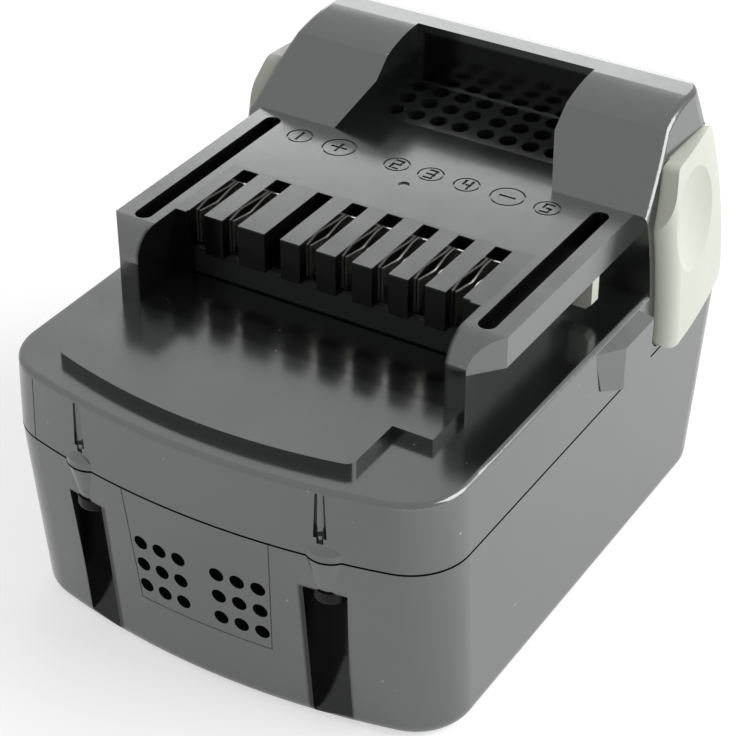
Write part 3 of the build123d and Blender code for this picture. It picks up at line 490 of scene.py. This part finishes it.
def coil_tree(material):
    """Node tree of a coil spring along X, with its sizes as named inputs."""
    group = bpy.data.node_groups.new("CoilSpring", "GeometryNodeTree")
    face = group.interface
    for name in ("Length", "Radius", "Wire", "Turns"):
        face.new_socket(name, in_out="INPUT", socket_type="NodeSocketFloat")
    face.new_socket("Geometry", in_out="OUTPUT", socket_type="NodeSocketGeometry")
    nodes = group.nodes
    links = group.links
    given = nodes.new("NodeGroupInput")
    made = nodes.new("NodeGroupOutput")
    spiral = nodes.new("GeometryNodeCurveSpiral")
    spiral.inputs["Resolution"].default_value = SPRING_STEPS
    links.new(given.outputs["Turns"], spiral.inputs["Rotations"])
    links.new(given.outputs["Radius"], spiral.inputs["Start Radius"])
    links.new(given.outputs["Radius"], spiral.inputs["End Radius"])
    links.new(given.outputs["Length"], spiral.inputs["Height"])
    section = nodes.new("GeometryNodeCurvePrimitiveCircle")
    section.inputs["Resolution"].default_value = WIRE_STEPS
    links.new(given.outputs["Wire"], section.inputs["Radius"])
    sweep = nodes.new("GeometryNodeCurveToMesh")
    sweep.inputs["Fill Caps"].default_value = True
    links.new(spiral.outputs["Curve"], sweep.inputs["Curve"])
    links.new(section.outputs["Curve"], sweep.inputs["Profile Curve"])
    turn = nodes.new("GeometryNodeTransform")
    turn.inputs["Rotation"].default_value = (0.0, math.pi / 2, 0.0)
    links.new(sweep.outputs["Mesh"], turn.inputs["Geometry"])
    smooth = nodes.new("GeometryNodeSetShadeSmooth")
    links.new(turn.outputs["Geometry"], smooth.inputs["Geometry"])
    real = nodes.new("GeometryNodeRealizeInstances")
    links.new(smooth.outputs["Geometry"], real.inputs["Geometry"])
    paint = nodes.new("GeometryNodeSetMaterial")
    paint.inputs["Material"].default_value = material
    links.new(real.outputs["Geometry"], paint.inputs["Geometry"])
    links.new(paint.outputs["Geometry"], made.inputs["Geometry"])
    return group


def coil_mesh(group, length):
    """Plain mesh of one coil spring from its node tree."""
    holder = bpy.data.objects.new("CoilHolder", bpy.data.meshes.new("CoilHolder"))
    bpy.context.scene.collection.objects.link(holder)
    modifier = holder.modifiers.new("Coil", "NODES")
    modifier.node_group = group
    given = {"Length": length, "Radius": SPRING_MIDDLE, "Wire": SPRING_WIRE, "Turns": SPRING_TURNS}
    for item in group.interface.items_tree:
        if item.in_out == "INPUT":
            modifier[item.identifier] = given[item.name]
    bpy.context.view_layer.update()
    graph = bpy.context.evaluated_depsgraph_get()
    data = bpy.data.meshes.new_from_object(holder.evaluated_get(graph))
    bpy.data.objects.remove(holder)
    return data


def latch_springs(material):
    """Coil springs that take the place of the plain tubes."""
    group = coil_tree(material)
    length = SPRING_END - SPRING_STOP - 2 * SPRING_WIRE
    for side, sign in (("right", 1), ("left", -1)):
        data = coil_mesh(group, length)
        data.name = "LatchCoil_" + side
        start = SPRING_STOP + SPRING_WIRE if sign > 0 else -SPRING_END + SPRING_WIRE
        for vertex in data.vertices:
            vertex.co += Vector((start, SPRING_Y, SPRING_Z))
        piece = finish_mesh("LatchCoil_" + side, data, "pack", material)
        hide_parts("latch_spring_" + side)
        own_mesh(piece)


# Studio


def seen_share(group, seen, otherwise=0.0):
    """Strength for what the camera, a reflection or a clear body sees, and for plain light."""
    path = group.nodes.new("ShaderNodeLightPath")
    share = path.outputs["Is Camera Ray"]
    for name in ("Is Glossy Ray", "Is Transmission Ray"):
        node = group.nodes.new("ShaderNodeMath")
        node.operation = "MAXIMUM"
        group.links.new(share, node.inputs[0])
        group.links.new(path.outputs[name], node.inputs[1])
        share = node.outputs["Value"]
    level = group.nodes.new("ShaderNodeMapRange")
    level.inputs["To Min"].default_value = otherwise
    level.inputs["To Max"].default_value = seen
    group.links.new(share, level.inputs["Value"])
    return level.outputs["Result"]


def pale_floor():
    """Pale floor that keeps the object's shadow."""
    data = bpy.data.meshes.new("Floor")
    half = FLOOR_HALF
    corners = [(-half, -half, 0), (half, -half, 0), (half, half, 0), (-half, half, 0)]
    data.from_pydata(corners, [], [(0, 1, 2, 3)])
    floor = bpy.data.objects.new("Floor", data)
    bpy.context.scene.collection.objects.link(floor)
    material, shader, coordinates = tree("FloorPaint")
    shader.inputs["Base Color"].default_value = (*FLOOR_COLOR, 1.0)
    shader.inputs["Roughness"].default_value = FLOOR_ROUGHNESS
    shader.inputs["Emission Color"].default_value = WHITE
    across = axes_of(material, coordinates.outputs["Object"])[0]
    level = spread(material, across, FLOOR_TURN_LEFT, FLOOR_TURN_RIGHT,
                   FLOOR_SEEN_LEFT, FLOOR_SEEN_RIGHT)
    seen = seen_share(material.node_tree, 1.0)
    strength = math_node(material, "MULTIPLY", seen, level)
    link(material, strength, shader.inputs["Emission Strength"])
    data.materials.append(material)


def surrounding():
    """White surrounding, which lights the object at a plain level."""
    world = bpy.data.worlds.new("Surrounding")
    bpy.context.scene.world = world
    world.use_nodes = True
    background = world.node_tree.nodes["Background"]
    background.inputs["Color"].default_value = WHITE
    strength = seen_share(world.node_tree, WORLD_SEEN, WORLD_LIGHT)
    world.node_tree.links.new(strength, background.inputs["Strength"])


def lamp(name, place, size, power):
    """Square soft lamp that points at the object."""
    data = bpy.data.lights.new(name, "AREA")
    data.size = size
    data.energy = power
    made = bpy.data.objects.new(name, data)
    made.location = place
    aim = Vector(LAMP_AIM) - Vector(place)
    made.rotation_euler = aim.to_track_quat("-Z", "Y").to_euler()
    bpy.context.scene.collection.objects.link(made)


def camera():
    """Camera at the photograph's place."""
    data = bpy.data.cameras.new("Camera")
    data.sensor_width = SENSOR_WIDTH
    data.lens = FOCAL_PIXELS * SENSOR_WIDTH / PHOTO_PIXELS
    data.clip_start = NEAREST_SEEN
    made = bpy.data.objects.new("Camera", data)
    made.location = CAMERA_PLACE
    made.rotation_euler = [math.radians(angle) for angle in CAMERA_TURN]
    bpy.context.scene.collection.objects.link(made)
    bpy.context.scene.camera = made


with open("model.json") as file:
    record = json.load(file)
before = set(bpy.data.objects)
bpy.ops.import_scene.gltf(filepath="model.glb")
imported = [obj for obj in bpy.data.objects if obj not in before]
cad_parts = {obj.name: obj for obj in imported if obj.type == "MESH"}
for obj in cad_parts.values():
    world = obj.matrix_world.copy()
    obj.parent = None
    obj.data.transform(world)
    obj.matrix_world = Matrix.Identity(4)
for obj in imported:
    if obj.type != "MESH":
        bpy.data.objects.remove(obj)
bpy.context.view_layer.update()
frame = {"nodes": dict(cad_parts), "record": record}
bpy.context.scene.view_settings.view_transform = "Standard"
materials = make_materials()
for entry in frame["record"]["subparts"]:
    node = frame["nodes"][entry["node"]]
    for holder in node.material_slots:
        holder.material = materials[entry["material_slot"]]
insert_outline(materials["terminal_plastic"])
mould_line(materials["frame_plastic"])
latch_springs(materials["spring_steel"])
pale_floor()
surrounding()
for entry in LAMPS:
    lamp(*entry)
camera()
